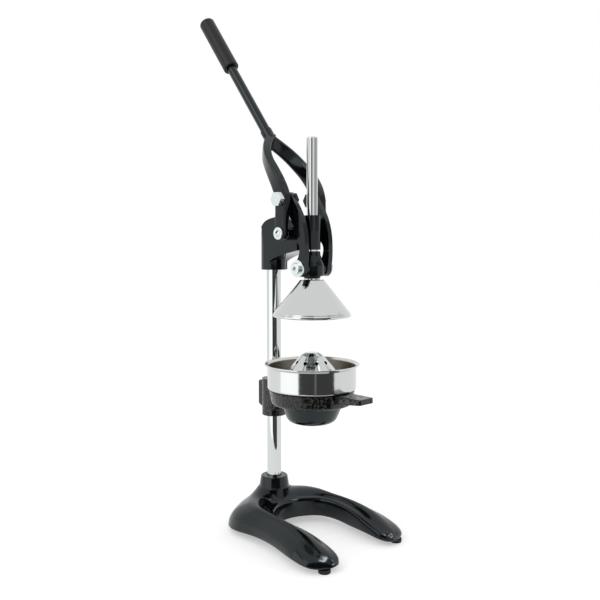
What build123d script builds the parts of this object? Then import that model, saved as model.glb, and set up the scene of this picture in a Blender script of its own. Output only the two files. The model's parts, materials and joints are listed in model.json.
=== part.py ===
from build123d import *
from math import atan2, cos, degrees, hypot, pi, radians, sin, sqrt
import os

os.makedirs("parts", exist_ok=True)

# Manual lever citrus juicer: a horseshoe base casting carries one post, the head casting on top of
# the post guides a vertical ram, and a forked hand lever drives the ram through two crescent links.
# The ram presses a hollow cone over a fluted reamer that stands in a cup on a height adjustable bracket.
# Millimetres, +Z up, forward is -Y. The origin is on the bench, under the middle of the whole object.

# Fits and clearances
slip = 0.05            # radial clearance of a fixed fit
running = 0.08         # radial clearance of a running fit
side_gap = 0.4         # side clearance between parts that move past each other
seat_gap = 0.3         # gap under and around a part that lifts off its seat

# Post and ram
post_dia = 22.0
post_wall = 2.0
post_foot_z = 14.0
post_top_z = 456.0
ram_reach = 83.0       # post axis to ram axis
ram_dia = 16.0
ram_rise = 188.0       # top of the ram above the yoke pins

# Base casting
foot_gap = 5.5         # the feet hold the casting this far off the bench
foot_r = 8.5
foot_peg_r = 2.5
foot_peg_height = 5.0
front_foot_x = 75.0
front_foot_y = 182.0   # in front of the post axis
rear_foot_x = 57.0
rear_foot_y = 22.0     # behind the post axis
base_front = 197.0     # post axis to the front of the legs
base_rear = 50.0       # post axis to the back edge
base_crest = 42.0      # height of the casting beside the boss
opening_r = 48.0       # round inner end of the horseshoe
opening_y = 77.0       # post axis to the centre of that round end
flank_flare = 18.0     # how far the outer flank leans out from its top crease to its foot
base_wall = 7.0
base_edge_r = 6.0
foot_boss_r = 9.5
boss_top_z = 76.0
boss_top_r = 20.8
boss_foot_r = 34.0
set_screw_r = 4.0

# Cup bracket, cup and reamer
seat_z = 223.5         # top of the bracket ring, on which the cup stands
ring_r = 63.0
ring_foot_r = 59.0
ring_height = 22.0
ring_bore_r = 52.0
ledge_r = 48.5         # bore of the ledge that carries the funnel
ledge_height = 4.0
clamp_r = 18.5
clamp_bottom_z = 172.0
clamp_rise = 5.2       # clamp above the ring
bracket_drop = 90.0    # how far the bracket slides down the post
tab_reach = 106.5      # ram axis to the end of the thumb tab
tab_width = 30.0
tab_thickness = 8.5
cup_r = 65.2
cup_rim_r = 69.9
cup_height = 37.2
sheet = 1.2
spigot_depth = 6.0
funnel_depth = 28.0    # below the ring
funnel_wall = 2.5
funnel_outlet_r = 17.0
reamer_top_r = 15.0
reamer_foot_r = 53.0
reamer_flange_r = 57.0
reamer_height = 52.3   # above the cup seat
flutes = 8
strainer_hole_r = 2.1

# Head casting
head_bottom_z = 396.0
head_half = 19.0       # half width of the cheeks, also the radius of the post hub
guide_bottom_z = 426.6
guide_top_z = 476.0
guide_r = 12.2
bush_wall = 1.5
bush_length = 14.0

# Lever, links and yoke
fulcrum_reach = 60.0   # post axis to the fulcrum
fulcrum_z = 450.0
fulcrum_boss_r = 9.5
crank = 48.5           # fulcrum to the upper link pins, upright at rest
yoke_pin_z = 399.7
link_inner = 20.2      # inner face of each link from the middle plane
link_thick = 8.0
link_ear_r = 11.0
link_foot_r = 12.0
link_rim = 6.0         # width of the raised rim round the pocket
link_pocket = 3.5      # depth of the pocket
arm_outer = 43.0       # outer face of each lever arm from the middle plane
arm_thick = 13.8
arm_end_thick = 8.0    # thinner at the fulcrum
arm_corner_r = 3.0
arm_width = 22.0
crank_bolt_r = 6.0
crank_hex = 19.0       # across flats
crank_nut_thick = 6.0
crank_head_thick = 7.5
socket_head_depth = 7.0
fulcrum_bolt_r = 5.0
fulcrum_head_r = 10.0
fulcrum_head_thick = 4.0
fulcrum_washer_thick = 1.5
yoke_bolt_r = 5.0
yoke_head_r = 8.2
yoke_head_thick = 5.0
yoke_washer_r = 12.5
yoke_washer_thick = 2.0
yoke_sleeve_r = 12.0
yoke_barrel_r = 10.5
yoke_sleeve_rise = 24.8
lever_travel = 130.0   # degrees from rest to the lowest position of the ram

# Handle
handle_lean = 37.6     # degrees back from upright at rest
collar_y = 6.5         # foot of the handle axis, behind the post axis
collar_z = 593.0
collar_length = 18.0
collar_r = 9.0
collar_pin_r = 2.5
tube_dia = 15.0
tube_wall = 2.0
grip_start = 152.0     # along the handle axis from the collar foot
grip_length = 105.0
grip_r = 12.3
grip_cap = 4.0

# Press cone
cone_r = 57.4
cone_top_r = 17.8
cone_rim_height = 6.0
cone_height = 54.1     # rim edge to top face
cone_hub_rise = 2.8    # raised pad on the top face
cone_sheet = 2.2
cone_washer_r = 12.5
cone_washer_thick = 3.0
ram_tip_r = 6.0
cone_nut_thick = 9.0

# Places worked out from the sizes above
lean = radians(handle_lean)
grip_end = grip_start + grip_length
rear_reach = collar_y + grip_end * sin(lean) + grip_r * cos(lean)
post_y = (base_front - rear_reach) / 2
ram_y = post_y - ram_reach
fulcrum_y = post_y - fulcrum_reach
crank_z = fulcrum_z + crank
link_outer = link_inner + link_thick
arm_inner = arm_outer - arm_thick
arm_end_inner = arm_outer - arm_end_thick
post_r = post_dia / 2
ram_r = ram_dia / 2
yoke_bottom_z = yoke_pin_z - yoke_barrel_r
yoke_half = link_inner - side_gap
cone_top_z = yoke_bottom_z - cone_washer_thick - cone_hub_rise
cone_roof_z = cone_top_z - cone_sheet
ram_top_z = yoke_pin_z + ram_rise
ring_bottom_z = seat_z - ring_height
ledge_z = ring_bottom_z + ledge_height
cup_floor_z = seat_z + seat_gap
cup_rim_z = cup_floor_z + cup_height
spigot_r = ring_bore_r - seat_gap
reamer_seat_z = cup_floor_z + sheet
reamer_top_z = seat_z + reamer_height
base_crest_z = base_crest
bench = Plane((0, post_y, 0))
side = Plane((0, post_y, 0), x_dir=(0, 1, 0), z_dir=(1, 0, 0))
post_axis = Axis((0, post_y, 0), (0, 0, 1))
ram_axis = Axis((0, ram_y, 0), (0, 0, 1))
post_section = Plane((0, post_y, 0), x_dir=(1, 0, 0), z_dir=(0, -1, 0))
ram_section = Plane((0, ram_y, 0), x_dir=(1, 0, 0), z_dir=(0, -1, 0))
handle_way = (0, sin(lean), cos(lean))
feet = [(side_x, y) for side_x, y in (
    (-front_foot_x, -front_foot_y), (front_foot_x, -front_foot_y), (-rear_foot_x, rear_foot_y), (rear_foot_x, rear_foot_y)
)]


def finish(piece, name):
    piece.label = name
    export_step(piece, f"parts/{name}.step")


def post_level(z):
    return Plane((0, post_y, z))


def ram_level(z):
    return Plane((0, ram_y, z))


def across(y, z, x):
    """Plane square to the X axis at distance x from the middle, its own x to the rear and y up."""
    return Plane((x, y, z), x_dir=(0, 1, 0), z_dir=(1, 0, 0))


def handle_level(distance):
    """Plane square to the handle axis, at a distance along it from the foot of the collar."""
    origin = (0, post_y + collar_y + distance * sin(lean), collar_z + distance * cos(lean))
    return Plane(origin, x_dir=(1, 0, 0), z_dir=handle_way)


def bar(plane, radius, length, bore=0.0):
    """Round bar or ring that starts on the plane."""
    with BuildPart() as piece:
        with BuildSketch(plane):
            Circle(radius)
            if bore > 0:
                Circle(bore, mode=Mode.SUBTRACT)
        extrude(amount=length)
    return piece.part


# Base casting: a horseshoe lofted from its foot outline to its narrower crease outline, trimmed to the
# crest line seen from the side, hollow below, with a flared boss for the post.
def horseshoe(z, out, bore):
    """Right half of the outline at height z: outer edge moved out from the crease, round inner end."""
    tip = base_front - flank_flare
    back = base_rear - flank_flare + out
    with BuildSketch(post_level(z)) as outline:
        with BuildLine():
            edge = Spline(
                (0, back),
                (26, back - 4),
                (50 + 0.8 * out, back - 14 - 0.2 * out),
                (62 + out, -opening_y + 20),
                (82 + out, -tip + 30),
                (74 + 0.7 * out, -tip + 4 - 0.75 * out),
                (56, -tip + 4 - 0.8 * out),
                (bore - 3, -tip + 26),
                (bore, -opening_y - 20),
                (bore, -opening_y),
                (bore * cos(pi / 6), -opening_y + bore * sin(pi / 6)),
                (bore * cos(pi / 3), -opening_y + bore * sin(pi / 3)),
                (0, -opening_y + bore),
                tangents=[(1, 0), (-1, 0)],
            )
            Line(edge @ 1, edge @ 0)
        make_face()
    return outline.sketch


def crest(drop):
    """Everything under the crest line seen from the side, the whole line lowered by drop."""
    with BuildPart() as body:
        with BuildSketch(side):
            with BuildLine():
                ridge = Spline(
                    (base_rear + 6, 0.5 * base_crest - drop),
                    (10, base_crest - drop),
                    (-opening_y, 0.97 * base_crest - drop),
                    (-base_front + 42, 0.78 * base_crest - drop),
                    (-base_front - 6, 0.3 * base_crest - drop),
                )
                Polyline(ridge @ 1, (-base_front - 6, -base_crest), (base_rear + 6, -base_crest), ridge @ 0)
            make_face()
        extrude(amount=base_front, both=True)
    return body.part


with BuildPart() as half_base:
    add(horseshoe(foot_gap, flank_flare, opening_r))
    add(horseshoe(base_crest + 3, 0, opening_r))
    loft(ruled=True)
    add(crest(0), mode=Mode.INTERSECT)

with BuildPart() as half_hollow:
    add(horseshoe(foot_gap - 2, -base_wall, opening_r + base_wall))
    extrude(amount=base_crest)
    add(crest(base_wall), mode=Mode.INTERSECT)
    with BuildSketch(post_level(0)):
        with Locations((front_foot_x, -front_foot_y), (rear_foot_x, rear_foot_y)):
            Circle(foot_boss_r)
        Circle(post_r + base_wall)
    extrude(amount=base_crest, mode=Mode.SUBTRACT)

with BuildPart() as base_casting:
    add(half_base.part)
    add(half_hollow.part, mode=Mode.SUBTRACT)
    mirror(about=Plane.YZ)
    with BuildSketch(side):
        with BuildLine():
            arch = ThreePointArc(
                (rear_foot_y - 12, foot_gap - 1), (-opening_y, foot_gap + 6), (-front_foot_y + 12, foot_gap - 1)
            )
            Line(arch @ 1, arch @ 0)
        make_face()
    extrude(amount=base_front, both=True, mode=Mode.SUBTRACT)
    with BuildSketch(post_section):
        with BuildLine():
            core = Polyline(
                (boss_foot_r - 14, base_crest - 9), (0, base_crest - 9), (0, boss_top_z), (boss_top_r - 2, boss_top_z)
            )
            lip = TangentArc(core @ 1, (boss_top_r, boss_top_z - 2), tangent=(1, 0))
            neck = Line(lip @ 1, (boss_top_r + 3, base_crest + 14))
            skirt = Spline(neck @ 1, (boss_foot_r - 5, base_crest + 3), (boss_foot_r + 6, base_crest - 1), tangents=[neck % 1, (1, -0.2)])
            Polyline(skirt @ 1, (boss_foot_r - 14, base_crest - 9))
        make_face()
    revolve(axis=post_axis)
    with BuildSketch(post_level(post_foot_z)):
        Circle(post_r + slip)
    extrude(amount=boss_top_z, mode=Mode.SUBTRACT)
    with BuildSketch(post_level(foot_gap)):
        with Locations(*feet):
            Circle(foot_peg_r + slip)
    extrude(amount=foot_peg_height + 0.5, mode=Mode.SUBTRACT)
    add(bar(Plane((0, post_y, boss_top_z - 12), z_dir=(0, 1, 0)), set_screw_r + slip, boss_foot_r), mode=Mode.SUBTRACT)
finish(base_casting.part, "base_casting")

with BuildPart() as rubber_feet:
    with BuildSketch(bench):
        with Locations(*feet):
            Circle(foot_r)
    extrude(amount=foot_gap)
    fillet(rubber_feet.edges().group_by(Axis.Z)[0], 1.0)
    with BuildSketch(post_level(foot_gap)):
        with Locations(*feet):
            Circle(foot_peg_r)
    extrude(amount=foot_peg_height)
finish(rubber_feet.part, "rubber_feet")


def set_screw(plane, length):
    """Socket set screw that starts on the plane, with its hexagon socket at the far end."""
    with BuildPart() as screw:
        with BuildSketch(plane):
            Circle(set_screw_r)
        extrude(amount=length)
        chamfer(screw.edges().sort_by(Axis.Y)[0], 0.6)
        with BuildSketch(plane.offset(length)):
            RegularPolygon(2.0, 6, major_radius=False)
        extrude(amount=-4, mode=Mode.SUBTRACT)
    return screw.part


with BuildPart() as base_set_screw:
    add(set_screw(Plane((0, post_y + post_r, boss_top_z - 12), z_dir=(0, 1, 0)), 10))
finish(base_set_screw.part, "base_set_screw")

# Post
with BuildPart() as post:
    add(bar(post_level(post_foot_z), post_r, post_top_z - post_foot_z, post_r - post_wall))
finish(post.part, "post")

# Cup bracket: a ring joined to a clamp on the post, with a thumb tab in front
with BuildPart() as thumb_tab:
    with BuildSketch(side):
        with BuildLine():
            Polyline(
                (-ram_reach - ring_r + 7, seat_z), (-ram_reach - tab_reach, seat_z),
                (-ram_reach - tab_reach, seat_z - tab_thickness + 1), (-ram_reach - ring_r + 7, seat_z - tab_thickness - 4), close=True
            )
        make_face()
    extrude(amount=tab_width / 2, both=True)
    fillet(thumb_tab.edges().filter_by(Axis.Z).group_by(Axis.Y)[0], 4.0)
    fillet(thumb_tab.edges().group_by(Axis.Z)[-1].sort_by(Axis.Y)[:-1], 1.5)

with BuildPart() as cup_bracket:
    with BuildSketch(ram_section):
        with BuildLine():
            rim = Polyline((0, ring_bottom_z), (0, seat_z), (ring_r - 1, seat_z), (ring_r, seat_z - 1), (ring_foot_r + 1.2, ring_bottom_z + 4.5))
            ThreePointArc(rim @ 1, (ring_foot_r - 0.8, ring_bottom_z + 1.1), (ring_foot_r - 4, ring_bottom_z))
            Line((ring_foot_r - 4, ring_bottom_z), rim @ 0)
        make_face()
    revolve(axis=ram_axis)
    add(bar(post_level(clamp_bottom_z), clamp_r, seat_z + clamp_rise - clamp_bottom_z))
    with BuildSketch(side):
        with BuildLine():
            web = Polyline(
                (-ram_reach + ring_r - 14, ring_bottom_z + 3),
                (-ram_reach + ring_r - 14, seat_z - 0.5),
                (-clamp_r + 2, seat_z + 1),
                (-clamp_r + 10, seat_z + clamp_rise),
                (0, seat_z + clamp_rise),
                (0, clamp_bottom_z + 4),
                (-clamp_r + 8, clamp_bottom_z + 6),
            )
            Spline(web @ 1, (-clamp_r - 4, ring_bottom_z - 9), web @ 0)
        make_face()
    extrude(amount=14, both=True)
    with BuildSketch(side):
        with BuildLine():
            lug = FilletPolyline(
                (0, seat_z + clamp_rise), (27, seat_z + clamp_rise - 6), (27, clamp_bottom_z + 14), (0, clamp_bottom_z + 2), radius=4
            )
            Line(lug @ 1, lug @ 0)
        make_face()
    extrude(amount=8, both=True)
    add(thumb_tab.part)
    with BuildSketch(ram_level(seat_z)):
        Circle(cup_r + 1)
    extrude(amount=clamp_rise + 5, mode=Mode.SUBTRACT)
    with BuildSketch(ram_level(ledge_z)):
        Circle(ring_bore_r)
    extrude(amount=ring_height, mode=Mode.SUBTRACT)
    with BuildSketch(ram_level(ring_bottom_z - 40)):
        Circle(ledge_r)
    extrude(amount=ring_height + 40, mode=Mode.SUBTRACT)
    with BuildSketch(post_level(clamp_bottom_z - 5)):
        Circle(post_r + running)
    extrude(amount=seat_z, mode=Mode.SUBTRACT)
    add(bar(Plane((0, post_y, ring_bottom_z), z_dir=(0, 1, 0)), set_screw_r + slip, 40), mode=Mode.SUBTRACT)
finish(cup_bracket.part, "cup_bracket")

with BuildPart() as bracket_set_screw:
    add(set_screw(Plane((0, post_y + post_r + running, ring_bottom_z), z_dir=(0, 1, 0)), 14))
finish(bracket_set_screw.part, "bracket_set_screw")

# Juice funnel, hung by its flange on the ledge of the ring
with BuildPart() as juice_funnel:
    funnel_bottom_z = ring_bottom_z - funnel_depth
    flange_r = ring_bore_r - slip
    with BuildSketch(ram_section):
        with BuildLine():
            flange = Polyline((ledge_r - funnel_wall - 1, ledge_z + funnel_wall), (flange_r, ledge_z + funnel_wall), (flange_r, ledge_z), (ledge_r - seat_gap, ledge_z), (ledge_r - 2.5, ring_bottom_z), (ledge_r - 11, ring_bottom_z - 20))
            turn = ThreePointArc(flange @ 1, (ledge_r - 15, funnel_bottom_z + 3), (ledge_r - 22, funnel_bottom_z))
            floor = Polyline(turn @ 1, (funnel_outlet_r, funnel_bottom_z - 0.5), (funnel_outlet_r, funnel_bottom_z + funnel_wall), (ledge_r - 22.5, funnel_bottom_z + funnel_wall + 0.5))
            rise = ThreePointArc(floor @ 1, (ledge_r - 16.8, funnel_bottom_z + 5), (ledge_r - 13.5, ring_bottom_z - 20 + 0.8))
            Line(rise @ 1, flange @ 0)
        make_face()
    revolve(axis=ram_axis)
finish(juice_funnel.part, "juice_funnel")

# Juice cup of sheet: rolled rim, straight wall, floor with a spigot that drops into the ring
with BuildPart() as juice_cup:
    with BuildSketch(ram_section):
        with BuildLine():
            Polyline(
                (spigot_r - sheet, cup_floor_z - spigot_depth),
                (spigot_r, cup_floor_z - spigot_depth),
                (spigot_r, cup_floor_z),
                (cup_r - 3, cup_floor_z),
            )
            foot = TangentArc((cup_r - 3, cup_floor_z), (cup_r, cup_floor_z + 3), tangent=(1, 0))
            wall = Line(foot @ 1, (cup_r, cup_rim_z - 4.7))
            roll = Polyline(wall @ 1, (cup_rim_r - 1.0, cup_rim_z - 1.6), (cup_rim_r, cup_rim_z - 1.6), (cup_rim_r, cup_rim_z - 0.6), (cup_rim_r - 0.8, cup_rim_z), (cup_rim_r - 2.0, cup_rim_z - 0.2), (cup_r - sheet, cup_rim_z - 4.0))
            inner = Line(roll @ 1, (cup_r - sheet, cup_floor_z + 3))
            round_in = ThreePointArc(inner @ 1, (cup_r - sheet - 0.55, cup_floor_z + sheet + 0.5), (cup_r - sheet - 1.8, cup_floor_z + sheet))
            Polyline(round_in @ 1, (spigot_r - sheet, cup_floor_z + sheet), (spigot_r - sheet, cup_floor_z - spigot_depth))
        make_face()
    revolve(axis=ram_axis)
finish(juice_cup.part, "juice_cup")


# Reamer: a hollow cone with flat facets, a groove between each two, and strainer holes in the grooves
def fluted(z, radius):
    """Facetted outline: each facet ends in a shallow groove."""
    step = 2 * pi / flutes
    corner = radius / cos(0.36 * step)
    groove = radius * 0.93 / cos(0.5 * step) * cos(0.12 * step)
    points = []
    for k in range(flutes):
        facing = k * step
        for turn, reach in ((-0.36, corner), (0.36, corner), (0.5, groove)):
            points.append((reach * sin(facing + turn * step), -reach * cos(facing + turn * step)))
    with BuildSketch(ram_level(z)) as outline:
        with BuildLine():
            Polyline(*points, close=True)
        make_face()
    return outline.sketch


with BuildPart() as reamer:
    reamer_foot_z = reamer_seat_z + 2.0
    slope = (reamer_foot_r - 3 - reamer_top_r) / (reamer_top_z - 4 - reamer_foot_z)
    add(fluted(reamer_foot_z, reamer_foot_r - 3))
    add(fluted(reamer_top_z - 4, reamer_top_r))
    loft(ruled=True)
    add(fluted(reamer_top_z - 4, reamer_top_r))
    add(fluted(reamer_top_z, reamer_top_r - 6))
    loft(ruled=True)
    with BuildSketch(ram_level(reamer_seat_z)):
        Circle(reamer_flange_r)
    extrude(amount=2.0)
    with BuildSketch(ram_level(reamer_seat_z - 4)):
        Circle(spigot_r - sheet - slip)
    extrude(amount=4.0)
    with BuildSketch(ram_section):
        with BuildLine():
            Polyline(
                (0, reamer_seat_z - 5), (spigot_r - sheet - 2, reamer_seat_z - 5), (spigot_r - sheet - 2, reamer_seat_z - 1),
                (reamer_foot_r - 3 - 3.6 - slope * 2, reamer_foot_z), (reamer_top_r - 5.5, reamer_top_z - 7), (0, reamer_top_z - 7), close=True
            )
        make_face()
    revolve(axis=ram_axis, mode=Mode.SUBTRACT)
    tilt = atan2(1, slope)
    for k in range(flutes):
        facing = (k + 0.5) * 2 * pi / flutes
        out_way = (sin(facing) * sin(tilt), -cos(facing) * sin(tilt), cos(tilt))
        for row in range(3):
            z = reamer_top_z - 15 - 11 * row
            reach = (reamer_top_r + slope * (reamer_top_z - 4 - z)) * 0.97
            hole = Plane((reach * sin(facing), ram_y - reach * cos(facing), z), z_dir=out_way)
            with BuildSketch(hole):
                Circle(strainer_hole_r)
            extrude(amount=8, both=True, mode=Mode.SUBTRACT)
finish(reamer.part, "reamer")

# Head casting: hub on the post, cheeks that carry the fulcrum bosses, and the tube that guides the ram
with BuildPart() as head_casting:
    add(bar(post_level(head_bottom_z), head_half, 66))
    fillet(head_casting.edges().group_by(Axis.Z)[-1], 9.0)
    with BuildSketch(side):
        with BuildLine():
            heel = Polyline((-10, head_bottom_z + 12), (-10, head_bottom_z), (0.5, head_bottom_z), (1.9, head_bottom_z + 35.8), (7, head_bottom_z + 65))
            crown = Spline(heel @ 1, (0.5, head_bottom_z + 71.5), (-19.7, head_bottom_z + 78), (-40, head_bottom_z + 79), (-56, head_bottom_z + 73), (-67, head_bottom_z + 58), (-69.5, head_bottom_z + 44))
            nose = Polyline(crown @ 1, (-70.8, head_bottom_z + 42), (-70.8, head_bottom_z + 29.5), (-56.5, head_bottom_z + 26.5))
            Spline(nose @ 1, (-41.5, head_bottom_z + 23.7), (-26.2, head_bottom_z + 19.5), heel @ 0)
        make_face()
    extrude(amount=head_half, both=True)
    with BuildSketch(side):
        with BuildLine():
            Polyline((-ram_reach, guide_bottom_z + 2), (-ram_reach, guide_top_z - 3), (-55, guide_top_z - 4), (-55, guide_bottom_z), close=True)
        make_face()
    extrude(amount=7, both=True)
    add(bar(ram_level(guide_bottom_z), guide_r, guide_top_z - guide_bottom_z))
    boss_end = arm_end_inner - side_gap - fulcrum_washer_thick
    with BuildSketch(across(fulcrum_y, fulcrum_z, 0)):
        Circle(fulcrum_boss_r)
    extrude(amount=boss_end, both=True)
    bush_seat_r = ram_r + bush_wall + slip
    with BuildSketch(ram_level(guide_bottom_z - 1)):
        Circle(bush_seat_r)
    extrude(amount=guide_top_z - guide_bottom_z + 2, mode=Mode.SUBTRACT)
    with BuildSketch(post_level(head_bottom_z - 1)):
        Circle(post_r + slip)
    extrude(amount=post_top_z + slip - head_bottom_z + 1, mode=Mode.SUBTRACT)
    with BuildSketch(across(fulcrum_y, fulcrum_z, head_half - 6)):
        Circle(fulcrum_bolt_r + slip)
    extrude(amount=arm_outer, mode=Mode.SUBTRACT)
    with BuildSketch(across(fulcrum_y, fulcrum_z, 6 - head_half)):
        Circle(fulcrum_bolt_r + slip)
    extrude(amount=-arm_outer, mode=Mode.SUBTRACT)
    add(bar(Plane((0, post_y, head_bottom_z + 18), z_dir=(0, 1, 0)), set_screw_r + slip, 40), mode=Mode.SUBTRACT)
finish(head_casting.part, "head_casting")

with BuildPart() as head_set_screw:
    add(set_screw(Plane((0, post_y + post_r, head_bottom_z + 18), z_dir=(0, 1, 0)), 6.5))
finish(head_set_screw.part, "head_set_screw")

with BuildPart() as guide_bushes:
    for z in (guide_bottom_z, guide_top_z - bush_length):
        add(bar(ram_level(z), ram_r + bush_wall, bush_length, ram_r + running))
finish(guide_bushes.part, "guide_bushes")

# Fulcrum bolts, one each side, screwed into the head through the lever arms
with BuildPart() as fulcrum_bolts:
    with BuildSketch(across(fulcrum_y, fulcrum_z, head_half - 5)):
        Circle(fulcrum_bolt_r)
    extrude(amount=arm_outer + side_gap - head_half + 5)
    with BuildSketch(across(fulcrum_y, fulcrum_z, arm_outer + side_gap)):
        Circle(fulcrum_head_r)
    extrude(amount=fulcrum_head_thick)
    fillet(fulcrum_bolts.edges().group_by(Axis.X)[-1], 1.5)
    mirror(about=Plane.YZ)
finish(fulcrum_bolts.part, "fulcrum_bolts")

with BuildPart() as fulcrum_washers:
    with BuildSketch(across(fulcrum_y, fulcrum_z, boss_end)):
        Circle(fulcrum_boss_r)
        Circle(fulcrum_bolt_r + running, mode=Mode.SUBTRACT)
    extrude(amount=fulcrum_washer_thick)
    mirror(about=Plane.YZ)
finish(fulcrum_washers.part, "fulcrum_washers")


# Lever fork: each arm is lofted through rounded sections, joined above the crotch by the handle collar
def arm_section(z, inner, outer, rear):
    """Cross section of the right arm at height z, its rear edge measured from the post axis."""
    with BuildSketch(Plane(((inner + outer) / 2, post_y + rear - arm_width / 2, z))) as section:
        RectangleRounded(outer - inner, arm_width, arm_corner_r)
    return section.sketch


with BuildPart() as right_arm:
    arm_rear = arm_width / 2 - fulcrum_reach
    add(arm_section(fulcrum_z, arm_end_inner, arm_outer, arm_rear))
    add(arm_section(fulcrum_z + fulcrum_boss_r + 2, arm_end_inner, arm_outer, arm_rear))
    add(arm_section(crank_z - 12, arm_inner, arm_outer, arm_rear + 0.5))
    add(arm_section(crank_z + 10, arm_inner, arm_outer, arm_rear + 5))
    add(arm_section(crank_z + 22, arm_inner, arm_outer, -39))
    add(arm_section(crank_z + 36, arm_inner - 1, arm_outer - 0.5, -30))
    add(arm_section(crank_z + 52, 23, 39.0, -16))
    add(arm_section(crank_z + 68, 13, 31.0, -5.5))
    add(arm_section(collar_z - 6, -6, 14.0, 9))
    loft(ruled=True)
    split(bisect_by=Plane.YZ, keep=Keep.TOP)
    with BuildSketch(across(fulcrum_y, fulcrum_z, arm_end_inner)):
        Circle(arm_width / 2 + 0.5)
    extrude(amount=arm_end_thick)
    with BuildSketch(across(fulcrum_y, fulcrum_z, arm_end_inner - 5)):
        Circle(fulcrum_bolt_r + running)
    extrude(amount=arm_end_thick + 10, mode=Mode.SUBTRACT)
    with BuildSketch(across(fulcrum_y, crank_z, arm_inner - 5)):
        Circle(crank_bolt_r + slip)
    extrude(amount=arm_thick + 10, mode=Mode.SUBTRACT)

with BuildPart() as lever_fork:
    add(right_arm.part)
    mirror(right_arm.part, about=Plane.YZ)
    with BuildSketch(handle_level(-14)):
        Circle(collar_r + 2)
    with BuildSketch(handle_level(collar_length)):
        Circle(collar_r)
    loft()
    with BuildSketch(handle_level(0)):
        Circle(tube_dia / 2 + slip)
    extrude(amount=collar_length + 5, mode=Mode.SUBTRACT)
    with BuildSketch(across(fulcrum_y, crank_z, arm_outer - socket_head_depth)):
        Circle(crank_hex / 2 + slip)
    extrude(amount=socket_head_depth + 5, mode=Mode.SUBTRACT)
    pin_origin = handle_level(collar_length / 2).origin
    add(bar(Plane((-20, pin_origin.Y, pin_origin.Z), z_dir=(1, 0, 0)), collar_pin_r + slip, 40), mode=Mode.SUBTRACT)
finish(lever_fork.part, "lever_fork")

with BuildPart() as handle_tube:
    add(bar(handle_level(0), tube_dia / 2, grip_end - grip_cap, tube_dia / 2 - tube_wall))
    add(bar(Plane((-20, pin_origin.Y, pin_origin.Z), z_dir=(1, 0, 0)), collar_pin_r + slip, 40), mode=Mode.SUBTRACT)
finish(handle_tube.part, "handle_tube")

with BuildPart() as collar_pin:
    add(bar(Plane((-collar_r - 0.6, pin_origin.Y, pin_origin.Z), z_dir=(1, 0, 0)), collar_pin_r, 2 * collar_r + 1.2))
    chamfer(collar_pin.edges(), 0.4)
finish(collar_pin.part, "collar_pin")

with BuildPart() as handle_grip:
    add(bar(handle_level(grip_start), grip_r, grip_length))
    fillet(handle_grip.edges().sort_by(Axis.Z)[-1], 3.0)
    fillet(handle_grip.edges().sort_by(Axis.Z)[0], 1.5)
    with BuildSketch(handle_level(grip_start - 1)):
        Circle(tube_dia / 2 + slip)
    extrude(amount=grip_length - grip_cap + 1, mode=Mode.SUBTRACT)
finish(handle_grip.part, "handle_grip")

# Upper link bolts: a hexagon head outside the near arm, a socket head sunk in the far arm
with BuildPart() as crank_bolt_near:
    with BuildSketch(across(fulcrum_y, crank_z, -arm_outer)):
        Circle(crank_bolt_r)
    extrude(amount=arm_thick)
    with BuildSketch(across(fulcrum_y, crank_z, -arm_outer)):
        RegularPolygon(crank_hex / 2, 6, major_radius=False)
    extrude(amount=-crank_head_thick)
finish(crank_bolt_near.part, "crank_bolt_near")

with BuildPart() as crank_bolt_far:
    with BuildSketch(across(fulcrum_y, crank_z, arm_inner)):
        Circle(crank_bolt_r)
    extrude(amount=arm_thick - socket_head_depth)
    with BuildSketch(across(fulcrum_y, crank_z, arm_outer - socket_head_depth)):
        Circle(crank_hex / 2)
    extrude(amount=socket_head_depth - 0.5)
    with BuildSketch(across(fulcrum_y, crank_z, arm_outer)):
        RegularPolygon(5, 6, major_radius=False)
    extrude(amount=-5, mode=Mode.SUBTRACT)
finish(crank_bolt_far.part, "crank_bolt_far")

# Crescent links between the lever's crank pins and the yoke, with a recessed pocket in the outer face
with BuildPart() as link_far:
    with BuildSketch(across(post_y, 0, link_inner)):
        with BuildLine():
            front = Spline(
                (-fulcrum_reach - 9.0, crank_z + 6.5),
                (-78.5, crank_z - 8.5),
                (-87, crank_z - 22.5),
                (-92.8, crank_z - 37),
                (-96, crank_z - 51),
                (-97.2, crank_z - 66),
                (-97.2, crank_z - 80),
                (-ram_reach - link_foot_r, yoke_pin_z + 1),
            )
            rear = Spline(
                (-ram_reach + 6, yoke_pin_z + 9),
                (-84.5, yoke_pin_z + 20),
                (-84, yoke_pin_z + 34),
                (-79, yoke_pin_z + 40),
                (-75.5, yoke_pin_z + 48),
                (-74.2, yoke_pin_z + 58),
                (-70, yoke_pin_z + 68),
                (-62, yoke_pin_z + 78),
                (-fulcrum_reach + 8, crank_z - 7),
            )
            Line(front @ 1, rear @ 0)
            Line(rear @ 1, front @ 0)
        make_face()
        with Locations((-fulcrum_reach, crank_z)):
            Circle(link_ear_r)
        with Locations((-ram_reach, yoke_pin_z)):
            Circle(link_foot_r)
    extrude(amount=link_thick)
    with BuildSketch(across(post_y, 0, link_inner)):
        with Locations((-fulcrum_reach, crank_z)):
            Circle(crank_bolt_r + slip)
        with Locations((-ram_reach, yoke_pin_z)):
            Circle(yoke_bolt_r + running)
    extrude(amount=link_thick, mode=Mode.SUBTRACT)
finish(link_far.part, "link_far")

with BuildPart() as link_near:
    mirror(link_far.part, about=Plane.YZ)
finish(link_near.part, "link_near")

# Nuts on the inner side of the links; the stud end of each bolt stays with its nut
with BuildPart() as crank_nut_far:
    with BuildSketch(across(fulcrum_y, crank_z, link_inner)):
        RegularPolygon(crank_hex / 2, 6, major_radius=False)
    extrude(amount=-crank_nut_thick)
    with BuildSketch(across(fulcrum_y, crank_z, link_outer)):
        Circle(crank_bolt_r)
    extrude(amount=-link_thick - crank_nut_thick - 1.5)
finish(crank_nut_far.part, "crank_nut_far")

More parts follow.
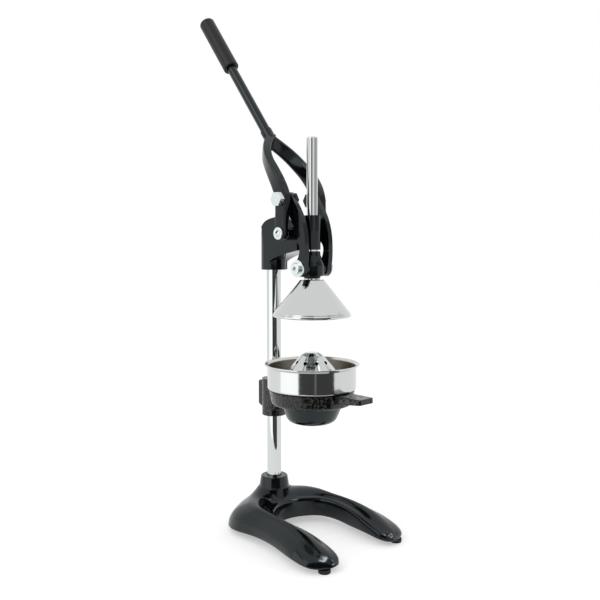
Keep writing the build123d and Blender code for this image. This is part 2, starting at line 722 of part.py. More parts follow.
with BuildPart() as crank_nut_near:
    mirror(crank_nut_far.part, about=Plane.YZ)
finish(crank_nut_near.part, "crank_nut_near")

# Yoke: a sleeve on the ram with a cross barrel for the lower link bolts
with BuildPart() as yoke:
    add(bar(ram_level(yoke_bottom_z), yoke_sleeve_r, yoke_barrel_r + yoke_sleeve_rise))
    with BuildSketch(across(ram_y, yoke_pin_z, 0)):
        Circle(yoke_barrel_r - 0.2)
    extrude(amount=yoke_half, both=True)
    with BuildSketch(ram_level(yoke_bottom_z - 5)):
        Circle(ram_r + slip)
    extrude(amount=60, mode=Mode.SUBTRACT)
    for x in (-yoke_half - 1, ram_r + 1):
        add(bar(Plane((x, ram_y, yoke_pin_z), z_dir=(1, 0, 0)), yoke_bolt_r + slip, yoke_half - ram_r), mode=Mode.SUBTRACT)
finish(yoke.part, "yoke")

with BuildPart() as yoke_washers:
    washer_x = link_outer + side_gap
    with BuildSketch(across(ram_y, yoke_pin_z, washer_x)):
        Circle(yoke_washer_r)
        Circle(yoke_bolt_r + slip, mode=Mode.SUBTRACT)
    extrude(amount=yoke_washer_thick)
    mirror(about=Plane.YZ)
finish(yoke_washers.part, "yoke_washers")

with BuildPart() as yoke_bolts:
    with BuildSketch(across(ram_y, yoke_pin_z, ram_r + 1)):
        Circle(yoke_bolt_r)
    extrude(amount=washer_x + yoke_washer_thick - ram_r - 1)
    with BuildSketch(across(ram_y, yoke_pin_z, washer_x + yoke_washer_thick)):
        Circle(yoke_head_r)
    extrude(amount=yoke_head_thick)
    fillet(yoke_bolts.edges().group_by(Axis.X)[-1], 1.5)
    with BuildSketch(across(ram_y, yoke_pin_z, washer_x + yoke_washer_thick + yoke_head_thick)):
        RegularPolygon(3, 6, major_radius=False)
    extrude(amount=-3, mode=Mode.SUBTRACT)
    mirror(about=Plane.YZ)
finish(yoke_bolts.part, "yoke_bolts")

# Ram with its threaded tip, and the press cone held on that tip by a nut
with BuildPart() as ram_rod:
    tip_z = cone_roof_z - cone_nut_thick - 2 * cone_washer_thick
    add(bar(ram_level(yoke_bottom_z), ram_r, ram_top_z - yoke_bottom_z))
    fillet(ram_rod.edges().sort_by(Axis.Z)[-1], 2.0)
    add(bar(ram_level(tip_z), ram_tip_r, yoke_bottom_z - tip_z))
    chamfer(ram_rod.edges().sort_by(Axis.Z)[0], 1.0)
finish(ram_rod.part, "ram_rod")

with BuildPart() as cone_top_washer:
    add(bar(ram_level(yoke_bottom_z - cone_washer_thick), cone_washer_r, cone_washer_thick, ram_tip_r + slip))
finish(cone_top_washer.part, "cone_top_washer")

with BuildPart() as press_cone:
    rim_z = cone_top_z - cone_height
    flank_z = rim_z + cone_rim_height
    hub_z = cone_top_z + cone_hub_rise
    with BuildSketch(ram_section):
        with BuildLine():
            Polyline(
                (ram_tip_r + slip, hub_z), (cone_washer_r - 1, hub_z), (cone_washer_r - 1, cone_top_z),
                (cone_top_r, cone_top_z), (cone_r, flank_z), (cone_r, rim_z), (cone_r - cone_sheet, rim_z),
                (cone_r - cone_sheet, flank_z - 0.8), (cone_top_r - 1, cone_roof_z), (ram_tip_r + slip, cone_roof_z), close=True
            )
        make_face()
    revolve(axis=ram_axis)
finish(press_cone.part, "press_cone")

with BuildPart() as cone_inner_washer:
    add(bar(ram_level(cone_roof_z - cone_washer_thick), cone_washer_r, cone_washer_thick, ram_tip_r + slip))
finish(cone_inner_washer.part, "cone_inner_washer")

with BuildPart() as cone_nut:
    with BuildSketch(ram_level(cone_roof_z - cone_washer_thick)):
        RegularPolygon(crank_hex / 2, 6, major_radius=False)
        Circle(ram_tip_r + slip, mode=Mode.SUBTRACT)
    extrude(amount=-cone_nut_thick)
finish(cone_nut.part, "cone_nut")
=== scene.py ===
"""Looks of a lever citrus juicer: smooth castings, small fittings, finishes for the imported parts, and the studio."""

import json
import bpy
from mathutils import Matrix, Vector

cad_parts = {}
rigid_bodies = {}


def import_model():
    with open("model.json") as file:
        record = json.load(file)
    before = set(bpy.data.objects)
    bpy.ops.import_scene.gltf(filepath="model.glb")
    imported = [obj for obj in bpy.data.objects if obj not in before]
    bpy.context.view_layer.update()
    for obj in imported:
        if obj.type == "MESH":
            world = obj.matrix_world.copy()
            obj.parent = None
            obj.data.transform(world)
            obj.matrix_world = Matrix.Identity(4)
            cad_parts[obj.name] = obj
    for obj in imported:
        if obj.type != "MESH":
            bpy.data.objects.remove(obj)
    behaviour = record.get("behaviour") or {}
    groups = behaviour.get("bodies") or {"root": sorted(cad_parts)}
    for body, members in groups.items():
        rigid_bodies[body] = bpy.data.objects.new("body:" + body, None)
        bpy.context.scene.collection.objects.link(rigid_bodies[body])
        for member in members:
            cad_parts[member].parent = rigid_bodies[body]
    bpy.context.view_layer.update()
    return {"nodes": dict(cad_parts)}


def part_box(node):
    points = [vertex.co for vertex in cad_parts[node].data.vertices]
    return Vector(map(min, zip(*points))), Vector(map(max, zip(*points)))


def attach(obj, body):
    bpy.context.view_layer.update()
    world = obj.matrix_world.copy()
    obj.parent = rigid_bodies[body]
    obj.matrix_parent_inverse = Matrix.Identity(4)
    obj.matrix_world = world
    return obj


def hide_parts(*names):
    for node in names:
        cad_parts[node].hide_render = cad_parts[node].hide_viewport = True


bl_info = {
    "name": "Lever Juicer Looks",
    "version": (1, 1, 0),
    "blender": (4, 5, 0),
    "location": "View3D > Sidebar > Juicer",
    "description": "Castings, fittings, finishes and a studio for a lever citrus juicer",
    "category": "Object",
}

from types import SimpleNamespace

import bmesh
import bpy
import numpy as np
from bpy.props import FloatProperty, FloatVectorProperty, PointerProperty
from mathutils import Matrix, Vector

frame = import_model()
MM = 0.001


def middle(node):
    """Centre of a node's box at rest."""
    low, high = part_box(node)
    return (low + high) / 2


POST = middle("post")
RAM = middle("ram_rod")
FULCRUM = middle("fulcrum_bolts")


# Colours, nodes and surfaces


def linear(code):
    """sRGB hex to linear: the piecewise sRGB curve, undone channel by channel."""
    values = np.array([int(code[k : k + 2], 16) for k in (1, 3, 5)]) / 255
    out = np.where(values <= 0.04045, values / 12.92, ((values + 0.055) / 1.055) ** 2.4)
    return (*out.tolist(), 1.0)


def add_node(material, kind, links=None, **settings):
    """Adds a node, sets its properties or inputs by name, and links its inputs to other sockets."""
    node = material.node_tree.nodes.new(kind)
    for name, value in settings.items():
        if hasattr(node, name):
            setattr(node, name, value)
        else:
            node.inputs[name.replace("_", " ")].default_value = value
    for name, socket in (links or {}).items():
        material.node_tree.links.new(socket, node.inputs[name])
    return node


def new_material(name, colour, metallic, roughness, **shader):
    """A principled material of a linear colour; returns it with its shader node."""
    material = bpy.data.materials.new(name)
    material.use_nodes = True
    surface = material.node_tree.nodes["Principled BSDF"]
    surface.inputs["Base Color"].default_value = tuple(colour)
    surface.inputs["Metallic"].default_value = metallic
    surface.inputs["Roughness"].default_value = roughness
    for socket, value in shader.items():
        surface.inputs[socket.replace("_", " ")].default_value = value
    return material, surface


def grain(material, surface, size_mm, strength, depth_mm, detail=2.0, stretch=(1, 1, 1)):
    """Noise bump whose cells are size_mm wide, stretched along the axes by the given factors."""
    where = add_node(material, "ShaderNodeTexCoord")
    spread = add_node(material, "ShaderNodeMapping", {"Vector": where.outputs["Object"]}, Scale=stretch)
    noise = add_node(
        material, "ShaderNodeTexNoise", {"Vector": spread.outputs["Vector"]},
        Scale=1 / (size_mm * MM), Detail=detail, Roughness=0.5,
    )
    bump = add_node(
        material, "ShaderNodeBump", {"Height": noise.outputs["Fac"]}, Strength=strength, Distance=depth_mm * MM
    )
    material.node_tree.links.new(bump.outputs["Normal"], surface.inputs["Normal"])
    return noise


def vary_roughness(material, surface, noise, low, high):
    """Maps a noise pattern to a range of roughness."""
    spread = add_node(
        material, "ShaderNodeMapRange", {"Value": noise.outputs["Fac"]},
        From_Min=0.3, From_Max=0.7, To_Min=low, To_Max=high,
    )
    material.node_tree.links.new(spread.outputs["Result"], surface.inputs["Roughness"])


def through(knots, count):
    """Smooth curve through knots, rows of numbers: a cubic between each two, its slope at a knot half the
    step from the knot before to the knot after."""
    knots = np.asarray(knots, dtype=float)
    where = np.linspace(0, len(knots) - 1, count)
    index = np.minimum(where.astype(int), len(knots) - 2)
    part = (where - index)[:, None]
    before, start, end, after = (knots[np.clip(index + k, 0, len(knots) - 1)] for k in (-1, 0, 1, 2))
    slope, next_slope = (end - before) / 2, (after - start) / 2
    return (
        start + part * slope + part**2 * (3 * (end - start) - 2 * slope - next_slope)
        + part**3 * (2 * (start - end) + slope + next_slope)
    )


def unit(vectors):
    """Vectors scaled to length one."""
    return vectors / np.linalg.norm(vectors, axis=-1, keepdims=True)


def eased(share):
    """A share from 0 to 1 that starts and ends gently: three times its square less twice its cube."""
    return share**2 * (3 - 2 * share)


def solid(name, sheets, material):
    """One object from closed sheets. A sheet is a grid of points in millimetres, rows by columns; its columns
    close on themselves and its first and last row run to a point, and doubles there are merged."""
    points, faces, start = [], [], 0
    for sheet in sheets:
        rows, columns = sheet.shape[:2]
        corner = start + np.arange((rows - 1) * columns).reshape(rows - 1, columns)
        beside = np.roll(corner, -1, axis=1)
        faces.append(np.stack([corner, beside, beside + columns, corner + columns], axis=-1).reshape(-1, 4))
        points.append(sheet.reshape(-1, 3))
        start += rows * columns
    mesh = bpy.data.meshes.new(name)
    mesh.from_pydata((np.concatenate(points) * MM).tolist(), [], np.concatenate(faces).tolist())
    work = bmesh.new()
    work.from_mesh(mesh)
    bmesh.ops.remove_doubles(work, verts=work.verts, dist=0.002 * MM)
    bmesh.ops.recalc_face_normals(work, faces=work.faces)
    work.to_mesh(mesh)
    work.free()
    mesh.shade_smooth()
    mesh.materials.append(material)
    thing = bpy.data.objects.new(name, mesh)
    bpy.context.scene.collection.objects.link(thing)
    return thing


def piece(name, sheets, body, material, *replaced):
    """A solid that rides on a body and may stand for a CAD node."""
    thing = solid(name, sheets, material)
    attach(thing, body)
    if replaced:
        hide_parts(*replaced)


def held(profile, gap=0.35):
    """Profile with a row close to each end of every long run, so smooth shading keeps its faces flat."""
    profile = np.asarray(profile, dtype=float)
    step = np.diff(profile, axis=0)
    length = np.linalg.norm(step, axis=1, keepdims=True)
    share = np.where(length > 4 * gap, gap / np.maximum(length, gap), 0.5)
    runs = np.stack([profile[:-1], profile[:-1] + share * step, profile[1:] - share * step], axis=1)
    return np.concatenate([runs.reshape(-1, 2), profile[-1:]])


def turned(origin, way, profile, count=64, reach=None):
    """A profile carried round an axis: each row is a circle of points at one distance along the axis.
    Profile rows are distance and radius; reach, if given, scales the radius by direction."""
    way = unit(np.asarray(way, dtype=float))
    first = unit(np.cross(way, (0.0, 0.0, 1.0) if abs(way[2]) < 0.9 else (1.0, 0.0, 0.0)))
    second = np.cross(way, first)
    angle = np.arange(count) * 2 * np.pi / count
    ring = np.cos(angle)[:, None] * first + np.sin(angle)[:, None] * second
    profile = held(profile) if reach is None else np.asarray(profile, dtype=float)
    radius = np.repeat(profile[:, 1:2], count, axis=1) if reach is None else reach(profile, angle)
    return np.asarray(origin) + profile[:, 0][:, None, None] * way + radius[:, :, None] * ring


# Finishes


def gloss_enamel(colour):
    """Baked black enamel over a dressed casting: deep blue-black gloss with a faint orange-peel ripple."""
    material, surface = new_material(
        "gloss_black_enamel", colour, 0.0, 0.1, IOR=1.45, Specular_Tint=(0.84, 0.95, 1.0, 1.0)
    )
    noise = grain(material, surface, 6.0, 0.22, 0.22, detail=3.0)
    vary_roughness(material, surface, noise, 0.07, 0.17)
    return material


def hammered_enamel(colour):
    """Textured powder coat on the bracket: pebbled skin about 3 mm across that breaks the gloss into sparks."""
    material, surface = new_material("textured_black_powder_coat", colour, 0.0, 0.2, IOR=1.55)
    noise = grain(material, surface, 3.4, 1.0, 1.3, detail=1.0)
    # Only the tops of the noise rise from the coat, as separate grains
    bump = surface.inputs["Normal"].links[0].from_node
    grains = add_node(
        material, "ShaderNodeMapRange", {"Value": bump.inputs["Height"].links[0].from_socket},
        From_Min=0.54, From_Max=0.7,
    )
    material.node_tree.links.new(grains.outputs["Result"], bump.inputs["Height"])
    vary_roughness(material, surface, noise, 0.1, 0.22)
    return material


def bright_chrome(colour):
    """Polished hard chrome on tube and bar: mirror with faint draw lines along the length."""
    material, surface = new_material("bright_chrome_plate", colour, 1.0, 0.04)
    noise = grain(material, surface, 1.2, 0.03, 0.05, stretch=(1, 1, 0.02))
    vary_roughness(material, surface, noise, 0.03, 0.06)
    return material


def spun_stainless(name, colour, axis, smooth=0.05, dull=0.1):
    """Mirror-polished spun stainless: faint rings round the ram axis, drawn 0.7 mm apart so that they show."""
    material, surface = new_material(name, colour, 1.0, 0.07)
    where = add_node(material, "ShaderNodeTexCoord")
    centred = add_node(
        material, "ShaderNodeMapping", {"Vector": where.outputs["Object"]}, Location=(-axis[0], -axis[1], 0)
    )
    parts = add_node(material, "ShaderNodeSeparateXYZ", {"Vector": centred.outputs["Vector"]})
    flat = add_node(material, "ShaderNodeCombineXYZ", {"X": parts.outputs["X"], "Y": parts.outputs["Y"]})
    radius = add_node(material, "ShaderNodeVectorMath", {0: flat.outputs["Vector"]}, operation="LENGTH")
    profile = add_node(material, "ShaderNodeCombineXYZ", {"X": radius.outputs["Value"], "Z": parts.outputs["Z"]})
    rings = add_node(
        material, "ShaderNodeTexNoise", {"Vector": profile.outputs["Vector"]}, Scale=1 / (0.7 * MM), Detail=2.0
    )
    bump = add_node(material, "ShaderNodeBump", {"Height": rings.outputs["Fac"]}, Strength=0.03, Distance=0.05 * MM)
    material.node_tree.links.new(bump.outputs["Normal"], surface.inputs["Normal"])
    vary_roughness(material, surface, rings, smooth, dull)
    return material, surface


def dull_inside(material, surface, axis, wall_mm, tint, blur=0.38):
    """Inside of the cup, within wall_mm of the axis: a warmer, brushed face that blurs what it mirrors."""
    where = add_node(material, "ShaderNodeTexCoord")
    centred = add_node(
        material, "ShaderNodeMapping", {"Vector": where.outputs["Object"]},
        Location=(-axis[0], -axis[1], 0), Scale=(1, 1, 0),
    )
    radius = add_node(material, "ShaderNodeVectorMath", {0: centred.outputs["Vector"]}, operation="LENGTH")
    inside = add_node(
        material, "ShaderNodeMapRange", {"Value": radius.outputs["Value"]},
        From_Min=wall_mm * MM, From_Max=(wall_mm - 0.25) * MM, To_Min=0.0, To_Max=1.0,
    )
    # A mix node's sockets share their names, so they go by number: factor 0; colours 6 and 7, out 2; numbers
    # 2 and 3, out 0
    links = material.node_tree.links
    colour = add_node(material, "ShaderNodeMix", {0: inside.outputs["Result"]}, data_type="RGBA")
    colour.inputs[6].default_value = surface.inputs["Base Color"].default_value[:]
    colour.inputs[7].default_value = tuple(tint)
    links.new(colour.outputs[2], surface.inputs["Base Color"])
    outside = surface.inputs["Roughness"].links[0].from_socket
    rough = add_node(
        material, "ShaderNodeMix", {0: inside.outputs["Result"], 2: outside}, data_type="FLOAT"
    )
    rough.inputs[3].default_value = blur
    links.new(rough.outputs[0], surface.inputs["Roughness"])


def zinc_plate(colour):
    """Bright zinc on steel fasteners: pale bluish metal with a slightly milky, uneven passivation."""
    material, surface = new_material("bright_zinc_plate", colour, 1.0, 0.25)
    noise = grain(material, surface, 2.5, 0.12, 0.1, detail=4.0)
    vary_roughness(material, surface, noise, 0.16, 0.34)
    return material


def painted_shade_steel():
    """Unpolished, near-black steel on the walls of the strainer holes: matt, and dark as painted shade from the hollow
    inside the reamer, so the holes read as black.
    """
    material, surface = new_material("painted_shade_hole_steel", linear("#0b0b0a"), 0.2, 0.8, Specular_IOR_Level=0.1)
    noise = grain(material, surface, 2.0, 0.3, 0.2)
    vary_roughness(material, surface, noise, 0.7, 0.9)
    return material


def black_oxide(colour):
    """Blackened steel on the nuts and pins: dark, half matt, with worn lighter patches."""
    material, surface = new_material("black_oxide_steel", colour, 0.6, 0.4)
    noise = grain(material, surface, 1.5, 0.15, 0.1, detail=3.0)
    vary_roughness(material, surface, noise, 0.3, 0.5)
    return material


def dipped_vinyl(colour):
    """Dip-moulded black vinyl on the grip: deep black with a soft sheen and a fine skin grain."""
    material, surface = new_material("dipped_black_vinyl", colour, 0.0, 0.4, IOR=1.4)
    noise = grain(material, surface, 0.9, 0.2, 0.15)
    vary_roughness(material, surface, noise, 0.34, 0.5)
    return material


def foot_rubber(colour):
    """Moulded rubber: matt and slightly dusty."""
    material, surface = new_material("moulded_black_rubber", colour, 0.0, 0.7)
    grain(material, surface, 0.8, 0.3, 0.15)
    return material


def sintered_bronze(colour):
    """Sintered bronze bushes: warm, porous, oil-dark."""
    material, surface = new_material("sintered_bronze", colour, 1.0, 0.42)
    grain(material, surface, 0.6, 0.3, 0.1)
    return material


def dress(material, *nodes):
    """Puts one material on CAD nodes."""
    for name in nodes:
        mesh = frame["nodes"][name].data
        mesh.materials.clear()
        mesh.materials.append(material)


# Sizes and colours


def fields(group):
    """Names of a property group's own properties."""
    return [name for name in group.bl_rna.properties.keys() if name not in ("rna_type", "name")]


def in_mm(group):
    """A property group's values by name, its lengths turned from metres to millimetres."""
    values = {name: getattr(group, name) for name in fields(group)}
    for name in values:
        if group.bl_rna.properties[name].unit == "LENGTH":
            values[name] /= MM
    return SimpleNamespace(**values)


class JuicerSizes(bpy.types.PropertyGroup):
    """Sizes of the two smooth castings and the screw heads."""

    half_width: FloatProperty(
        name="Half width", description="Half the width over both legs of the base",
        default=0.102, min=0.06, precision=4, unit="LENGTH",
    )
    front: FloatProperty(
        name="Front", description="From the post axis to the front of the legs",
        default=0.1905, min=0.12, precision=4, unit="LENGTH",
    )
    crest: FloatProperty(
        name="Crown", description="Height of the base beside the boss",
        default=0.05, min=0.02, precision=4, unit="LENGTH",
    )
    foot_gap: FloatProperty(
        name="Foot gap", description="Height of the lower edge of the base",
        default=0.0055, min=0.001, precision=4, unit="LENGTH",
    )
    arch_rise: FloatProperty(
        name="Arch", description="Lift of the lower edge between the feet",
        default=0.006, min=0, precision=4, unit="LENGTH",
    )
    boss_top: FloatProperty(
        name="Boss top", description="Height of the top of the boss",
        default=0.076, min=0.05, precision=4, unit="LENGTH",
    )
    boss_radius: FloatProperty(
        name="Boss radius", description="Radius of the boss at its top",
        default=0.0208, min=0.014, precision=4, unit="LENGTH",
    )
    flare: FloatProperty(
        name="Flare", description="Reach of the boss's flare over the base",
        default=0.046, min=0.03, precision=4, unit="LENGTH",
    )
    arm_outer: FloatProperty(
        name="Arm outer face", description="From the middle plane to an arm's outer face",
        default=0.043, min=0.02, precision=4, unit="LENGTH",
    )
    arm_rise: FloatProperty(
        name="Arm rise", description="Height of the fork over the fulcrum",
        default=0.143, min=0.05, precision=4, unit="LENGTH",
    )
    arm_thick: FloatProperty(
        name="Arm thickness", description="Thickness of an arm",
        default=0.0138, min=0.004, precision=4, unit="LENGTH",
    )
    arm_width: FloatProperty(
        name="Arm width", description="Width of an arm", default=0.022, min=0.008, precision=4, unit="LENGTH"
    )
    collar_radius: FloatProperty(
        name="Collar radius", description="Radius of the handle collar",
        default=0.009, min=0.008, precision=4, unit="LENGTH",
    )
    lean: FloatProperty(
        name="Lean", description="Lean of the handle back from upright", default=0.6562, subtype="ANGLE"
    )
    head_radius: FloatProperty(
        name="Head radius", description="Radius of a fulcrum screw head",
        default=0.009, min=0.005, precision=4, unit="LENGTH",
    )


class JuicerColours(bpy.types.PropertyGroup):
    """Colours of the finishes."""

    enamel: FloatVectorProperty(
        name="Enamel", description="Gloss enamel on the castings", default=linear("#06080a"),
        size=4, min=0, max=1, subtype="COLOR",
    )
    coat: FloatVectorProperty(
        name="Powder coat", description="Textured coat on the cup bracket", default=linear("#06080a"),
        size=4, min=0, max=1, subtype="COLOR",
    )
    chrome: FloatVectorProperty(
        name="Chrome", description="Hard chrome on post and ram", default=linear("#cdd0d0"),
        size=4, min=0, max=1, subtype="COLOR",
    )
    steel: FloatVectorProperty(
        name="Stainless steel", description="Polished sheet of cone, reamer and cup", default=linear("#cacdcc"),
        size=4, min=0, max=1, subtype="COLOR",
    )
    cup_inside: FloatVectorProperty(
        name="Cup inside", description="Brushed face inside the cup", default=linear("#9a948a"),
        size=4, min=0, max=1, subtype="COLOR",
    )
    zinc: FloatVectorProperty(
        name="Zinc", description="Zinc plate on the bright fasteners", default=linear("#dbe2e3"),
        size=4, min=0, max=1, subtype="COLOR",
    )
    oxide: FloatVectorProperty(
        name="Black oxide", description="Blackened steel on the dark fasteners", default=linear("#24272a"),
        size=4, min=0, max=1, subtype="COLOR",
    )
    vinyl: FloatVectorProperty(
        name="Grip", description="Dipped vinyl on the handle grip", default=linear("#060708"),
        size=4, min=0, max=1, subtype="COLOR",
    )
    rubber: FloatVectorProperty(
        name="Rubber", description="Moulded rubber of the feet", default=linear("#101112"),
        size=4, min=0, max=1, subtype="COLOR",
    )
    bronze: FloatVectorProperty(
        name="Bronze", description="Sintered bronze of the guide bushes", default=linear("#a98856"),
        size=4, min=0, max=1, subtype="COLOR",
    )


# Base casting

# Stations round the right half of the horseshoe, from the middle plane at the back to the toe: shares of
# half_width and front for the inner and outer foot points, the share of the width where the flank begins,
# and shares of crest for the heights of the inner edge and of the crown
LEG_STATIONS = np.array([
    (0.000, -0.157, 0.000, 0.249, 0.74, 0.76, 1.00),
    (0.201, -0.180, 0.343, 0.234, 0.72, 0.76, 0.99),
    (0.373, -0.244, 0.657, 0.157, 0.66, 0.76, 0.97),
    (0.425, -0.277, 0.770, 0.080, 0.63, 0.76, 0.96),
    (0.466, -0.315, 0.819, -0.020, 0.61, 0.76, 0.95),
    (0.487, -0.358, 0.815, -0.130, 0.61, 0.76, 0.935),
    (0.499, -0.406, 0.807, -0.245, 0.61, 0.76, 0.92),
    (0.499, -0.457, 0.818, -0.360, 0.615, 0.75, 0.91),
    (0.491, -0.513, 0.844, -0.468, 0.62, 0.735, 0.895),
    (0.477, -0.577, 0.879, -0.562, 0.62, 0.71, 0.87),
    (0.459, -0.643, 0.917, -0.638, 0.62, 0.67, 0.83),
    (0.441, -0.705, 0.953, -0.703, 0.62, 0.615, 0.775),
    (0.429, -0.761, 0.980, -0.760, 0.62, 0.55, 0.71),
    (0.422, -0.853, 0.997, -0.853, 0.61, 0.45, 0.56),
    (0.431, -0.919, 0.961, -0.924, 0.60, 0.37, 0.44),
    (0.461, -0.964, 0.868, -0.972, 0.59, 0.29, 0.33),
    (0.520, -0.990, 0.735, -0.995, 0.58, 0.22, 0.24),
])


SKIRT = 2.2  # how far the boss stands out at its neck, past its radius at the top, in mm
TOE_ROWS = 130  # rows from each toe that are rounded as a cast edge
TOE_PASSES = 150  # how often they are, and
ALL_PASSES = 8  # how often the whole casting is


def neck_height(sizes):
    """Height where the flare ends and the wall of the boss begins, 0.42 of the way from crest to boss top."""
    return sizes.crest + 0.42 * (sizes.boss_top - sizes.crest)


def across_up(across, up):
    """Points of a section from their distances across the leg and up."""
    return np.stack([across, up], axis=1)


def bent(start, mid, end, count):
    """Parabola from start through mid to end, for a whole column of sections at once."""
    part = np.linspace(0, 1, count, endpoint=False)[None, :, None]
    control = 2 * mid - (start + end) / 2
    return (
        (1 - part) ** 2 * start[:, None] + 2 * part * (1 - part) * control[:, None] + part**2 * end[:, None]
    )


def horseshoe(sizes):
    """Grid of the horseshoe: rows follow the legs from toe to toe, columns go round an upright section whose
    outline is a flat foot, a swelling flank, a domed crown, a rounded inner edge and a leaning inner wall.
    Near the post each point is lifted towards the neck of the boss by a power of its nearness."""
    mirrored = LEG_STATIONS[1:][::-1] * np.array([-1, 1, -1, 1, 1, 1, 1])
    rows = through(np.concatenate([mirrored, LEG_STATIONS]), 520)
    inner = np.stack([rows[:, 0] * sizes.half_width, rows[:, 1] * sizes.front], axis=1)
    outer = np.stack([rows[:, 2] * sizes.half_width, rows[:, 3] * sizes.front], axis=1)
    width = np.linalg.norm(outer - inner, axis=1)
    way = unit(outer - inner)
    crown = rows[:, 6] * sizes.crest
    lip = np.minimum(rows[:, 5] * sizes.crest, crown)
    low = 0 * width
    foot_in, foot_out = across_up(low, low), across_up(width, low)
    flank = across_up(rows[:, 4] * width, 0.86 * crown)
    swell = (foot_out + flank) / 2 + 0.16 * across_up(flank[:, 1], width - flank[:, 0])
    wall = across_up(low + 2, lip * (1 - 7 / lip.max()))
    edge = across_up(2 + np.minimum(8, 0.25 * width), lip)
    edge_mid = across_up(0.7 * wall[:, 0] + 0.3 * edge[:, 0], 0.3 * wall[:, 1] + 0.7 * edge[:, 1])
    crown_mid = across_up((edge[:, 0] + flank[:, 0]) / 2, crown)
    section = np.concatenate([
        bent(foot_in, (foot_in + foot_out) / 2, foot_out, 12),
        bent(foot_out, swell, flank, 40),
        bent(flank, crown_mid, edge, 44),
        bent(edge, edge_mid, wall, 16),
        bent(wall, (wall + foot_in) / 2, foot_in, 22),
    ], axis=1)
    place = inner[:, None, :] + section[:, :, :1] * way[:, None, :]
    height = section[:, :, 1] / crown[:, None]
    # Lower edge: an arch between the feet
    middle_y, half = -0.41 * sizes.front, 0.51 * sizes.front
    arch = sizes.arch_rise * np.clip(1 - ((place[:, :, 1] - middle_y) / half) ** 2, 0, 1)
    base = sizes.foot_gap + arch
    up = base + section[:, :, 1] * ((crown[:, None] - base) / crown[:, None])
    # Flare of the boss
    stretch = np.where(place[:, :, 1] < 0, 1.45, 1.0)
    away = np.hypot(place[:, :, 0], place[:, :, 1] * stretch)
    near = np.clip((sizes.flare - away) / (sizes.flare - sizes.boss_radius - SKIRT), 0, 1) ** 2.6
    top = eased(np.clip((height - 0.55) / 0.35, 0, 1))
    up = up + (neck_height(sizes) - up) * near * top
    grid = np.concatenate([place, up[:, :, None]], axis=2)
    # Toes: the last section shrinks to a point while it moves forward
    turn = np.linspace(0, np.pi / 2, 14)[1:]
    caps = []
    for last in (grid[0], grid[-1]):
        centre = last.mean(axis=0)
        ahead = np.array([0.0, -1.0, 0.0]) * 0.02 * sizes.front
        caps.append(centre + np.cos(turn)[:, None, None] * (last - centre) + np.sin(turn)[:, None, None] * ahead)
    grid = np.concatenate([caps[0][::-1], grid, caps[1]])
    # Cast edges: each point moves towards the mean of its neighbours, many times over at the toes
    row = np.arange(len(grid))
    toe = eased(np.clip(1 - np.minimum(row, len(grid) - 1 - row) / TOE_ROWS, 0, 1))[:, None, None]
    for step in range(TOE_PASSES):
        share = 0.5 if step < ALL_PASSES else 0.5 * toe
        along = np.concatenate([grid[:1], (grid[:-2] + grid[2:]) / 2, grid[-1:]])
        round_it = (np.roll(grid, 1, axis=1) + np.roll(grid, -1, axis=1)) / 2
        grid = grid + share * ((along + round_it) / 2 - grid)
    for end in (0, -1):
        grid[end] = grid[end].mean(axis=0)
    grid[:, :, 2] = np.maximum(grid[:, :, 2], sizes.foot_gap)
    return grid + np.array([0.0, POST[1] / MM, 0.0])


def boss(sizes):
    """Boss for the post: a profile turned round the post axis, a tapering wall under a rounded top edge."""
    neck, radius = neck_height(sizes), sizes.boss_radius
    turn = np.linspace(0, np.pi / 2, 9)
    lip = 2.0
    profile = [
        (neck - 16, 0.0), (neck - 16, radius + 2.0), (neck - 3, radius + 2.6), (neck, radius + SKIRT),
        (neck + 0.5 * (sizes.boss_top - neck), radius + 1.0),
    ]
    profile += [(sizes.boss_top - lip + lip * np.sin(a), radius - lip + lip * np.cos(a)) for a in turn]
    profile += [(sizes.boss_top, 12.4), (sizes.boss_top - 1.2, 11.4), (sizes.boss_top - 1.2, 0.0)]
    return turned((0, POST[1] / MM, 0), (0, 0, 1), profile, count=96)


class JUICER_OT_base(bpy.types.Operator):
    """Cast the horseshoe base with its flared boss"""

    bl_idname = "juicer.base"
    bl_label = "Base casting"

    def execute(self, context):
        sizes = in_mm(context.scene.juicer_sizes)
        enamel = bpy.data.materials["gloss_black_enamel"]
        piece("horseshoe_base", [horseshoe(sizes), boss(sizes)], "stand", enamel, "base_casting")
        return {"FINISHED"}


# Lever fork

# Stations up an arm: shares of arm_outer across and of arm_rise back and up from the fulcrum, shares of
# arm_thick and arm_width, and the turn of the strap in degrees
ARM_STATIONS = np.array([
    (0.907, 0.000, 0.000, 0.58, 1.00, 0),
    (0.907, 0.000, 0.042, 0.58, 1.00, 0),
    (0.907, 0.000, 0.084, 0.58, 1.00, 0),
    (0.874, 0.000, 0.168, 0.78, 1.00, 0),
    (0.839, 0.000, 0.252, 1.00, 1.00, 0),
    (0.838, 0.010, 0.378, 1.00, 1.00, 0),
    (0.840, 0.066, 0.497, 0.98, 1.00, 8),
    (0.802, 0.154, 0.615, 0.91, 1.00, 18),
    (0.721, 0.245, 0.713, 0.83, 1.00, 28),
    (0.570, 0.332, 0.811, 0.90, 0.98, 33),
    (0.302, 0.413, 0.909, 0.98, 0.93, 33),
    (-0.093, 0.483, 1.007, 1.00, 0.90, 33),
])


